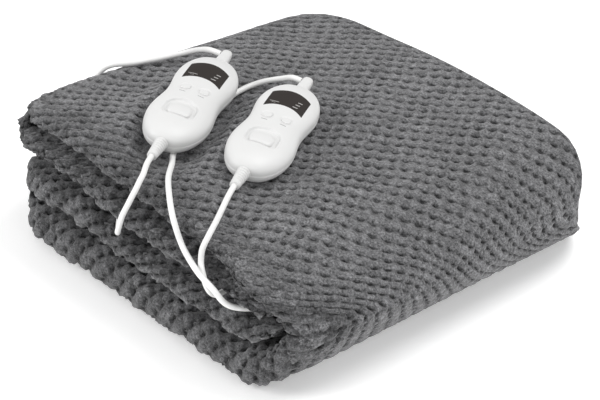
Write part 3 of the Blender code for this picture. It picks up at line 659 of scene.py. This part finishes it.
cords = {
    "diameter": 0.0052,
    "step": 0.0026,  # between points
    "low": 0.0029,  # height of the axis of a cord that lies
    "coilRadius": 0.0285,  # of the coils' middle turns
    "turnPitch": 0.0053,  # from turn to turn
    "turnStep": 5.0,  # degrees between points
    "tailSide": 0.0330,  # of the straight ends from the coil's middle
    "tailLength": 0.0280,
    "plugAxis": 0.0071,  # height of the plug's axis
    "colour": (0.84, 0.84, 0.83),
    "grain": {"Soft Scale": 90.0, "Grain Scale": 1400.0, "Roughness": 0.425, "Roughness Spread": 0.25,
              "Grain Strength": 0.15, "Grain Depth": 0.0002},
}
# The tail from the coil to the plug: shares of its way ahead, and of its way aside and up.
tailBends = ((0.0, 0.0), (0.25, 0.08), (0.55, 0.60), (0.80, 0.95), (1.0, 1.0))
# The routes' points, from each handset on.
routes = {
    "left_mains": (
        (-0.1125, 0.0062, 0.1377), (-0.1205, 0.0035, 0.1385), (-0.1305, 0.0035, 0.1355),
        (-0.1480, 0.0040, 0.1265), (-0.1590, 0.0000, 0.1205), (-0.1660, -0.0065, 0.1175),
        (-0.1705, -0.0160, 0.1165), (-0.1750, -0.0300, 0.1170), (-0.1820, -0.0435, 0.1165),
        (-0.1910, -0.0540, 0.1155), (-0.1985, -0.0600, 0.1110), (-0.2025, -0.0650, 0.1040),
        (-0.2055, -0.0725, 0.0905), (-0.2075, -0.0800, 0.0715), (-0.2080, -0.0845, 0.0495),
        (-0.2085, -0.0855, 0.0305), (-0.2095, -0.0830, 0.0185), (-0.2105, -0.0775, 0.0105),
        (-0.2120, -0.0695, 0.0055), (-0.2150, -0.0565, 0.0030), (-0.2195, -0.0365, 0.0030),
        (-0.2213, -0.0150, 0.0030), (-0.2215, 0.0047, 0.0030),
    ),
    "left_blanket": (
        (-0.0211, -0.1478, 0.1360), (-0.0120, -0.1610, 0.1365), (-0.0025, -0.1720, 0.1362),
        (-0.0005, -0.1765, 0.1345), (0.0020, -0.1825, 0.1305), (0.0025, -0.1880, 0.1245),
        (0.0015, -0.1935, 0.1155), (-0.0010, -0.1970, 0.1065), (-0.0045, -0.1975, 0.0960),
        (-0.0090, -0.1960, 0.0870), (-0.0135, -0.1930, 0.0815), (-0.0180, -0.1890, 0.0784),
        (-0.0250, -0.1830, 0.0779), (-0.0395, -0.1695, 0.0791),
    ),
    "right_mains": (
        (-0.0345, 0.0344, 0.1330), (-0.0425, 0.0320, 0.1337), (-0.0540, 0.0305, 0.1285),
        (-0.0705, 0.0185, 0.1220), (-0.0740, -0.0105, 0.1195), (-0.0690, -0.0310, 0.1181),
        (-0.0590, -0.0595, 0.1190), (-0.0470, -0.0885, 0.1198), (-0.0360, -0.1100, 0.1195),
        (-0.0265, -0.1205, 0.1220), (-0.0085, -0.1360, 0.1288), (0.0105, -0.1550, 0.1338),
        (0.0300, -0.1705, 0.1340), (0.0530, -0.1850, 0.1255), (0.0650, -0.1865, 0.1065),
        (0.0760, -0.1905, 0.1040), (0.1003, -0.1993, 0.1033), (0.1145, -0.2012, 0.1005),
        (0.1240, -0.1988, 0.0935), (0.1320, -0.1932, 0.0828), (0.1430, -0.1720, 0.0760),
        (0.1425, -0.1605, 0.0755), (0.1225, -0.1400, 0.0750), (0.0940, -0.1270, 0.0745),
        (0.0685, -0.1150, 0.0720), (0.0560, -0.1040, 0.0705), (0.0475, -0.0870, 0.0695),
        (0.0270, -0.0640, 0.0685), (0.0050, -0.0440, 0.0670), (-0.0200, -0.0250, 0.0665),
        (-0.0700, 0.0080, 0.0675), (-0.0960, 0.0220, 0.0680), (-0.1230, 0.0340, 0.0660),
        (-0.1525, 0.0430, 0.0630), (-0.1810, 0.0485, 0.0610), (-0.1995, 0.0520, 0.0590),
        (-0.2145, 0.0585, 0.0400), (-0.2178, 0.0620, 0.0215), (-0.2208, 0.0725, 0.0047),
        (-0.2215, 0.0808, 0.0030),
    ),
    "right_blanket": (
        (0.0555, -0.1204, 0.1313), (0.0605, -0.1295, 0.1303), (0.0685, -0.1440, 0.1262),
        (0.0780, -0.1585, 0.1247), (0.0865, -0.1710, 0.1250), (0.0900, -0.1775, 0.1235),
        (0.0915, -0.1820, 0.1205), (0.0920, -0.1860, 0.1155), (0.0925, -0.1880, 0.1080),
        (0.0950, -0.1905, 0.1035), (0.1020, -0.1945, 0.0995), (0.1075, -0.1970, 0.0955),
        (0.1105, -0.1975, 0.0920), (0.1120, -0.1960, 0.0875), (0.1120, -0.1930, 0.0835),
        (0.1115, -0.1885, 0.0800), (0.1100, -0.1805, 0.0785), (0.1080, -0.1640, 0.0775),
    ),
}
# Slots are places in the coil's section: turns outwards from its middle one, and layers up. Angles
# in degrees, anticlockwise from +X; the cord moves to its next slot between the two of "move", once a turn.
coils = {
    "left": {"middle": (-0.2545, 0.0220), "way": -1, "reach": 0.0165, "plugX": -0.2800,
             "first": -27.7, "last": 8 * 360 + 206.6, "move": (20, 150), "lastMove": (20, 150),
             "slots": ((1, 0), (0, 0), (-1, 0), (-1, 1), (0, 1), (-1, 2), (0, 2), (1, 2), (1, 1), (1, 0))},
    "right": {"middle": (-0.2545, 0.1000), "way": 1, "reach": 0.0192, "plugX": -0.2290,
              "first": -30.2, "last": 5 * 360 + 30.2, "move": (0, 38), "lastMove": (2, 30),
              "slots": ((1, 0), (0, 0), (-1, 0), (-1, 1), (0, 1), (1, 1), (1, 0))},
}


def evenly(points, step):
    # Points of an open line, a step apart.
    place = np.concatenate([[0], np.cumsum(np.linalg.norm(np.diff(points, axis=0), axis=1))])
    at = np.linspace(0, place[-1], round(place[-1] / step) + 1)
    return np.stack([np.interp(at, place, points[:, k]) for k in range(points.shape[1])], 1)


def smoothRoute(route):
    # Natural cubic spline through a route's points, the same curve as the solid's.
    knots = np.array(route)
    gaps = np.sqrt(np.linalg.norm(np.diff(knots, axis=0), axis=1))
    place = np.concatenate([[0.0], np.cumsum(gaps)])
    n = len(knots)
    system, right = np.eye(n), np.zeros((n, 3))
    for i in range(1, n - 1):
        system[i, i - 1:i + 2] = gaps[i - 1], 2 * (gaps[i - 1] + gaps[i]), gaps[i]
        right[i] = 6 * ((knots[i + 1] - knots[i]) / gaps[i] - (knots[i] - knots[i - 1]) / gaps[i - 1])
    bends = np.linalg.solve(system, right)
    t = np.linspace(0, place[-1], 2000)
    i = np.clip(np.searchsorted(place, t) - 1, 0, n - 2)
    width, before, after = gaps[i][:, None], (t - place[i])[:, None], (place[i + 1] - t)[:, None]
    curve = (bends[i] * after**3 + bends[i + 1] * before**3) / (6 * width)
    curve += (knots[i] / width - bends[i] * width / 6) * after
    return curve + (knots[i + 1] / width - bends[i + 1] * width / 6) * before


def coilPoints(coil):
    # A circle whose radius and height move from one slot to the next, straight where it comes and goes.
    first, last = coil["first"], coil["last"]
    degrees = np.linspace(first, last, round((last - first) / cords["turnStep"]) + 1)
    slots = coil["slots"]
    slot = np.tile(np.array(slots[0], float), (len(degrees), 1))
    for turn in range(len(slots) - 1):
        low, high = coil["lastMove"] if turn == len(slots) - 2 else coil["move"]
        share = smoothStep(degrees, 360 * turn + low, 360 * turn + high)
        slot += share[:, None] * (np.array(slots[turn + 1]) - np.array(slots[turn]))
    angle = np.radians(degrees)
    radius = cords["coilRadius"] + cords["turnPitch"] * slot[:, 0]
    straight = cords["tailSide"] / np.maximum(np.abs(np.cos(angle)), 0.5)
    ends = (degrees < 0) | (degrees > last - 30)  # the last 30 degrees leave along a line
    radius = np.where(ends, np.maximum(radius, straight), radius)
    x, y = coil["middle"]
    return np.stack([x + radius * np.cos(angle), y + radius * np.sin(angle),
                     cords["low"] + cords["turnPitch"] * slot[:, 1]], 1)


def tailPoints(coil):
    # An S from the coil's end to the back of the plug, through the tail's bends.
    way = coil["way"]
    x, y = coil["middle"][0] + way * cords["tailSide"], coil["middle"][1] + way * coil["reach"]
    shift, rise = coil["plugX"] - x, cords["plugAxis"] - cords["low"]
    return smoothRoute([(x + shift * aside, y + way * cords["tailLength"] * ahead, cords["low"] + rise * aside)
                        for ahead, aside in tailBends])


def addSheath():
    # White cord sheath: one colour, with the grain in its roughness and bump.
    made, tree, shader = newMaterial("cord_sheath")
    setSockets(shader, {"Base Color": (*cords["colour"], 1.0)})
    placeGrain(tree, shader, cords["grain"], {"Roughness": "Roughness", "Normal": "Normal"})
    return made


def addCord(name, points, material):
    # A round tube through the points, closed at its ends.
    data = bpy.data.curves.new(name, "CURVE")
    data.dimensions = "3D"
    data.bevel_depth = cords["diameter"] / 2
    data.bevel_resolution = 4
    data.use_fill_caps = True
    spline = data.splines.new("POLY")
    spline.points.add(len(points) - 1)
    spline.points.foreach_set("co", np.insert(points, 3, 1.0, axis=1).ravel())
    data.materials.append(material)
    obj = addObject(name, data)
    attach(obj, "root")
    return obj


def addCords():
    # Route, coil and tail in one line of even steps, whose joins are eased twice with weights of 1, 2 and 1.
    sheath = addSheath()
    for name, route in routes.items():
        side = name.split("_")[0]
        points = smoothRoute(route)
        coiled = name.endswith("mains")
        if coiled:
            points = np.concatenate([points, coilPoints(coils[side])[1:], tailPoints(coils[side])[1:]])
        points = evenly(points, cords["step"])
        for _ in range(2):
            points[1:-1] = (points[:-2] + 2 * points[1:-1] + points[2:]) / 4
        obj = addCord(name + "_lead" if coiled else name + "_end", points, sheath)
        if coiled:
            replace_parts(obj, side + "_mains_cord", side + "_coil", side + "_tail")
        else:
            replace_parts(obj, side + "_blanket_cord")


# Handsets, each shaped in its own plane: x across, y along its length towards the boot, z up from its underside

# The waist is its depth, place and spread. Window, button, slot and pad are arched boxes: half width, lower and
# upper end, rise of the upper and of the lower arch, corner radius. Boot and relief: start and length along y,
# half width at the start and at the end, height of the axis.
handset = {
    "length": 0.142,
    "width": 0.064,
    "squareness": 2.5,
    "waist": (0.20, 0.06, 0.38),
    "parting": 0.0106,
    "partingDrop": 0.0007,
    "partingGroove": 0.0004,
    "top": 0.0243,
    "crown": 2.6,
    "underInset": 0.0100,
    "underPower": 2.2,
    "around": 400,
    "ringStep": 0.00058,
    "window": (0.0180, 0.0176, 0.0426, 0.0062, 0.0062, 0.0005),
    "windowLift": 0.00012,
    "windowSeat": 0.0004,
    "button": (0.0042, 0.0007, 0.0083, 0.0, 0.0, 0.0034),
    "buttonSide": 0.0088,
    "buttonLift": 0.0002,
    "buttonRing": 0.0008,
    "slot": (0.0146, -0.0408, -0.0212, 0.0062, 0.0008, 0.0055),
    "slotDepth": 0.0023,
    "pad": (0.0108, -0.0392, -0.0266, 0.0036, 0.0, 0.0046),
    "padLift": 0.0001,
    "padCrown": 0.0007,
    "softEdge": 0.0009,
    "boot": (0.0600, 0.0308, 0.0066, 0.0047, 0.0122),
    "bootRound": 0.14,
    "bootTip": 0.62,
    "bootFlat": 0.92,
    "bootSquareness": 2.7,
    "relief": (-0.0700, -0.0225, 0.0063, 0.0045, 0.0115),
    "ribs": 6,
    "ribShare": 0.8,
    "ribDepth": 0.0014,
    "ribPower": 1.3,
    "markRaise": 0.00022,
    "dash": (-0.0030, -0.0042, 0.0056, 0.0005),
    "dashRaise": 0.00004,
}
# Printed strokes on the window: x and y of the lower left corner, width, height.
windowMarks = (
    (-0.0150, 0.0262, 0.0085, 0.0005), (-0.0128, 0.0244, 0.0035, 0.0003),
    (0.0085, 0.0347, 0.0040, 0.0009), (0.0075, 0.0305, 0.0040, 0.0009), (0.0062, 0.0262, 0.0046, 0.0009),
)
# Plastics: colour, roughness, mottle, strength of the grain, specular level.
plastics = {
    "case_plastic": ((0.70, 0.70, 0.695), 0.46, 0.04, 0.10, 0.5),
    "key_plastic": ((0.70, 0.70, 0.695), 0.44, 0.04, 0.10, 0.5),
    "window_plastic": ((0.026, 0.021, 0.019), 0.45, 0.10, 0.02, 0.20),
    "mark_print": ((0.45, 0.44, 0.43), 0.5, 0.04, 0.10, 0.5),
    "dash_print": ((0.25, 0.25, 0.25), 0.5, 0.04, 0.10, 0.5),
}
plasticGrain = {"Soft Scale": 35.0, "Grain Scale": 1800.0, "Roughness Spread": 0.16, "Grain Depth": 0.0001}
pinMetal = {
    "colour": (0.72, 0.70, 0.66),
    "lineScale": 2400.0,
    "lineStretch": (1.0, 0.08, 1.0),
    "roughness": (0.20, 0.18),
}


def outlineAt(angle, squeeze):
    # The peanut outline: an oval whose width dips at the waist, squeezed towards its middle line.
    c, s = np.cos(angle), np.sin(angle)
    power = 2 / handset["squareness"]
    depth, place, spread = handset["waist"]
    u = np.sign(s) * np.abs(s) ** power
    half = handset["width"] / 2 * (1 - depth * np.exp(-(((u - place) / spread) ** 2))) * squeeze
    ends = handset["length"] / 2 - (1 - squeeze) * handset["width"] / 2
    return half * np.sign(c) * np.abs(c) ** power, ends * u


def domeHeight(x, y):
    # Height of the domed top over x, y: the squeeze whose outline passes there is found by halving.
    power = handset["squareness"]
    depth, place, spread = handset["waist"]
    low, high = np.zeros(np.shape(x)), np.ones(np.shape(x))
    for _ in range(30):
        s = (low + high) / 2
        u = np.clip(np.abs(y) / (handset["length"] / 2 - (1 - s) * handset["width"] / 2), 0, 1.2)
        dip = 1 - depth * np.exp(-(((np.sign(y) * u - place) / spread) ** 2))
        outside = (np.abs(x) / (handset["width"] / 2 * dip * s + 1e-9)) ** power + u**power > 1
        low, high = np.where(outside, s, low), np.where(outside, high, s)
    crown = handset["crown"]
    return handset["parting"] + (handset["top"] - handset["parting"]) * (1 - high**crown) ** (1 / crown)


def archDistance(x, y, shape):
    # Distance outside a rounded box whose ends are arched; negative inside it.
    half, low, high, rise, lowRise, corner = shape
    bow = 1 - np.clip(x / half, -1, 1) ** 2
    bottom, top = low + lowRise * bow, high + rise * bow
    overX, overY = np.abs(x) - half + corner, np.abs(y - (bottom + top) / 2) - (top - bottom) / 2 + corner
    outside = np.hypot(np.maximum(overX, 0), np.maximum(overY, 0))
    return outside + np.minimum(np.maximum(overX, overY), 0) - corner


def archOutline(shape, count):
    # The same box's outline, as evenly spaced points: four quarter circles on a box, whose ends are then raised
    # by their arch, rise times 1 - x^2.
    half, low, high, rise, lowRise, corner = shape
    tall = (high - low) / 2
    turns = np.radians(np.concatenate([np.linspace(first, first + 90, 9) for first in (0, 90, 180, 270)]))
    sideX, sideY = np.repeat([1, -1, -1, 1], 9), np.repeat([1, 1, -1, -1], 9)
    ring = np.stack([sideX * (1 - corner / half) + corner / half * np.cos(turns),
                     sideY * (1 - corner / tall) + corner / tall * np.sin(turns)], 1)
    ring = np.concatenate([ring, ring[:1]])
    p, q = evenly(ring, np.linalg.norm(np.diff(ring, axis=0), axis=1).sum() / 500).T
    y = (low + high) / 2 + q * tall + (lowRise * (1 - q) / 2 + rise * (1 + q) / 2) * (1 - p**2)
    ring = np.stack([p * half, y], 1)
    return evenly(ring, np.linalg.norm(np.diff(ring, axis=0), axis=1).sum() / count)[:-1]


def recess(x, y):
    # How far the case lies under its dome: a soft-edged slot, rings round the buttons, a seat for the window.
    soft = handset["softEdge"]
    depth = handset["slotDepth"] * (1 - smoothStep(archDistance(x, y, handset["slot"]), -1.6 * soft, soft))
    for side in (-1, 1):
        away = archDistance(x - side * handset["buttonSide"], y, handset["button"])
        depth = np.maximum(depth, handset["buttonRing"] * (1 - smoothStep(away, 0.0, 2.4 * soft)))
    inWindow = 1 - smoothStep(archDistance(x, y, handset["window"]), -0.0012, -0.0004)
    return np.maximum(depth, handset["windowSeat"] * inWindow)


def localMesh(name, grid, place, material, body="root", closeTop=False, smooth=True):
    # Rings of equal count as a surface, closed at both ends, leaned and turned to the handset's place. A ring
    # that has shrunk to a line closes across it, pair by pair.
    rings, around = grid.shape[:2]
    index = np.arange(rings * around).reshape(rings, around)
    beside = np.roll(index, -1, axis=1)
    faces = np.stack([index[:-1], beside[:-1], beside[1:], index[1:]], 2).reshape(-1, 4).tolist()
    if closeTop:
        half = around // 2
        faces += [(j, around - j, around - j - 1, j + 1) for j in range(1, half - 1)]
        faces += [(0, around - 1, 1), (half - 1, half + 1, half)]
    else:
        faces.append(index[0][::-1].tolist())
    faces.append(index[-1].tolist())
    _, cx, cy, cz, turn, lean, _ = place
    turned = np.array(Matrix.Rotation(math.radians(turn), 3, "Z") @ Matrix.Rotation(math.radians(lean), 3, "Y"))
    points = grid.reshape(-1, 3) @ turned.T + np.array([cx, cy, cz])
    mesh = bpy.data.meshes.new(name)
    mesh.from_pydata(points.tolist(), [], faces)
    if smooth:
        mesh.shade_smooth()
    mesh.materials.append(material)
    obj = addObject(name, mesh)
    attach(obj, body)
    return obj


def caseGrid():
    # Rings from the middle line over the dome to the rim, a fine parting groove, and the rounded underside.
    angles = np.linspace(math.pi / 2, 5 * math.pi / 2, 6001)
    x, y = outlineAt(angles, 1.0)
    place = np.concatenate([[0], np.cumsum(np.hypot(np.diff(x), np.diff(y)))])
    count = handset["around"]
    angle = np.interp(np.arange(count) / count * place[-1], place, angles)
    crown, parting, rise = handset["crown"], handset["parting"], handset["top"] - handset["parting"]
    dense = np.sin(np.linspace(0.003, math.pi / 2, 3000))
    heights = parting + rise * (1 - dense**crown) ** (1 / crown)
    profile = np.stack([dense * handset["width"] / 2, heights], 1)
    squeezes = evenly(profile, handset["ringStep"])[:, 0] / (handset["width"] / 2)
    squeeze = np.clip(squeezes, 0, 1)[:, None]
    x, y = outlineAt(angle, squeeze)
    z = parting + rise * (1 - squeeze**crown) ** (1 / crown)
    dome = np.stack([x, y, z - recess(x, y) * (squeeze < 0.9)], 2)
    x, y = outlineAt(angle, 1.0)
    outward = np.stack([np.roll(y, -1) - np.roll(y, 1), np.roll(x, 1) - np.roll(x, -1)], 1)
    outward /= np.linalg.norm(outward, axis=1)[:, None]
    groove, drop, power = handset["partingGroove"], handset["partingDrop"], 2 / handset["underPower"]
    t = np.linspace(0.08, math.pi / 2, 14)
    inset = np.append([0.0, groove, groove, 0.0], handset["underInset"] * (1 - np.cos(t) ** power))[:, None]
    down = np.append([0.00005, 0.0002, 0.0005, drop], drop + (parting - drop) * np.sin(t) ** power)[:, None]
    under = np.stack([x - outward[:, 0] * inset, y - outward[:, 1] * inset, parting - down + 0 * x], 2)
    return np.concatenate([dome, under])


def lidGrid(outline, lift, rim, skirt, crown=0.0):
    # A lid on the dome: rings that shrink to its middle, with a rounded rim and a skirt below it. Its height is
    # the dome's, plus the lift, plus the crown times 1 - share^2 of the way out.
    middle = outline.mean(0)
    size = np.linalg.norm(outline - middle, axis=1).mean()
    turns = np.linspace(0, math.pi / 2, 5)
    flat = np.append(np.linspace(rim, size, 13)[1:-1], size * 0.985)
    inset = np.concatenate([[0.0], rim * (1 - np.cos(turns)), flat])
    fall = np.concatenate([[skirt], rim * (1 - np.sin(turns)), 0 * flat])[::-1, None]
    share = (1 - inset / size)[::-1, None]
    x, y = [middle[k] + (outline[:, k] - middle[k]) * share for k in (0, 1)]
    return np.stack([x, y, domeHeight(x, y) + lift + crown * (1 - share**2) - fall], 2)


def sleeveGrid(y, half, flat, axis, power, around=56):
    # Rings across the handset's length at each y: ovals of the half width, whose height is a share of it.
    angle = np.linspace(0, 2 * math.pi, around, endpoint=False)
    c, s = np.cos(angle), np.sin(angle)
    c, s = np.sign(c) * np.abs(c) ** (2 / power), np.sign(s) * np.abs(s) ** (2 / power)
    half = half[:, None]
    return np.stack([half * c, y[:, None] + 0 * c, axis + flat * half * s], 2)


def bootGrid():
    # A tapered sleeve with a tip rounded as a quarter of an oval.
    start, length, wide, narrow, axis = handset["boot"]
    tip, rounded = handset["bootTip"], handset["bootRound"]
    share = np.append(np.linspace(0, 1 - rounded, 12), 1 - rounded + rounded * np.sin(np.linspace(0.1, 1.5, 9)))
    end = np.sqrt(np.maximum(1 - (np.maximum(share - 1 + rounded, 0) / rounded) ** 2, 0))
    half = (wide + (narrow - wide) * share) * (tip + (1 - tip) * end)
    return sleeveGrid(start + share * length, half, handset["bootFlat"], axis, handset["bootSquareness"])[:, ::-1]


def reliefGrid():
    # A tapered round sleeve whose ribs stand between narrow grooves: depth times (1 - |sine|) to a power.
    start, length, wide, narrow, axis = handset["relief"]
    share = np.linspace(0, 1, 91)
    wave = np.abs(np.sin(math.pi * share / handset["ribShare"] * handset["ribs"]))
    groove = handset["ribDepth"] * (1 - wave) ** handset["ribPower"] * (share < handset["ribShare"] + 0.01)
    y = np.append(start + share * length, start + length - 0.0004)
    half = np.append(wide + (narrow - wide) * share - groove, narrow - 0.0005)
    return sleeveGrid(y, half, 1.0, axis, 2.0)


def markGrid(x, y, width, height, raised):
    # A short printed stroke, as a thin plate that follows the dome.
    ahead = np.linspace(x, x + width, 8)
    px = np.concatenate([ahead, ahead[::-1]])
    py = np.repeat([y, y + height], 8)
    z = domeHeight(px, py) + raised
    return np.stack([np.stack([px, py, z + 0.00004], 1), np.stack([px, py, z - 0.0001], 1)])


def addPlastic(name):
    # Moulded plastic or print, with the grain in its colour, roughness and bump.
    colour, roughness, mottle, strength, specular = plastics[name]
    made, tree, shader = newMaterial(name)
    setSockets(shader, {"Specular IOR Level": specular})
    own = {"Colour": (*colour, 1.0), "Mottle": mottle, "Roughness": roughness, "Grain Strength": strength}
    placeGrain(tree, shader, {**plasticGrain, **own},
               {"Colour": "Base Color", "Roughness": "Roughness", "Normal": "Normal"})
    return made


def addPinMetal():
    # Drawn metal: noise stretched along the pins moves the roughness.
    made, tree, shader = newMaterial("pin_metal")
    setSockets(shader, {"Base Color": (*pinMetal["colour"], 1.0), "Metallic": 1.0})
    place = addNode(tree, "ShaderNodeTexCoord").outputs["Object"]
    drawn = addNode(tree, "ShaderNodeMapping", {"Vector": place, "Scale": pinMetal["lineStretch"]})
    lines = noiseNode(tree, drawn.outputs[0], pinMetal["lineScale"], 2.0)
    tree.links.new(mathNode(tree, "MULTIPLY_ADD", lines, *pinMetal["roughness"]), shader.inputs["Roughness"])
    return made


def addHandsets():
    # Each handset's case, window, keys, knob, boots and prints, and materials for the plugs and pins.
    white, keys, glass, marks, dashes = [addPlastic(name) for name in plastics]
    metal = addPinMetal()
    case, boot, relief = caseGrid(), bootGrid(), reliefGrid()
    lift = handset["windowLift"]
    window = lidGrid(archOutline(handset["window"], 200), lift, rim=lift, skirt=0.0007)
    key = archOutline(handset["button"], 72)
    pad = lidGrid(archOutline(handset["pad"], 120), handset["padLift"], rim=0.0016, skirt=0.0030,
                  crown=handset["padCrown"])
    for place in handsets:
        side = place[0]
        shell = localMesh(side + "_case", case, place, white, closeTop=True)
        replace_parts(shell, side + "_case_bottom", side + "_case_top")
        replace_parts(localMesh(side + "_glass", window, place, glass), side + "_window")
        for label, way in (("a", -1), ("b", 1)):
            button = key + np.array([way * handset["buttonSide"], 0.0])
            node = side + "_button_" + label
            lid = lidGrid(button, handset["buttonLift"], rim=0.0006, skirt=0.0022)
            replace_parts(localMesh(side + "_key_" + label, lid, place, keys, node), node)
        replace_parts(localMesh(side + "_pad", pad, place, keys, side + "_slide"), side + "_slide")
        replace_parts(localMesh(side + "_cord_boot", boot, place, white), side + "_boot")
        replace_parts(localMesh(side + "_ribbed_boot", relief, place, white), side + "_relief")
        for i, (x, y, width, height) in enumerate(windowMarks):
            stroke = markGrid(x, y, width, height, handset["markRaise"])
            localMesh(f"{side}_mark_{i}", stroke, place, marks, smooth=False)
        for i, way in enumerate((-1, 1)):
            x, y, width, height = handset["dash"]
            stroke = markGrid(way * handset["buttonSide"] + x, y, width, height, handset["dashRaise"])
            localMesh(f"{side}_dash_{i}", stroke, place, dashes, smooth=False)
        for node in ("_plug", "_pin_a", "_pin_b"):
            obj = bpy.data.objects[side + node]
            for slot in obj.material_slots:
                slot.material = white if node == "_plug" else metal
    print("handsets", len(handsets), "with", case.shape[0] * case.shape[1], "points in a case")


addCamera()
addStudio()
addCords()
addCloth()
addHandsets()
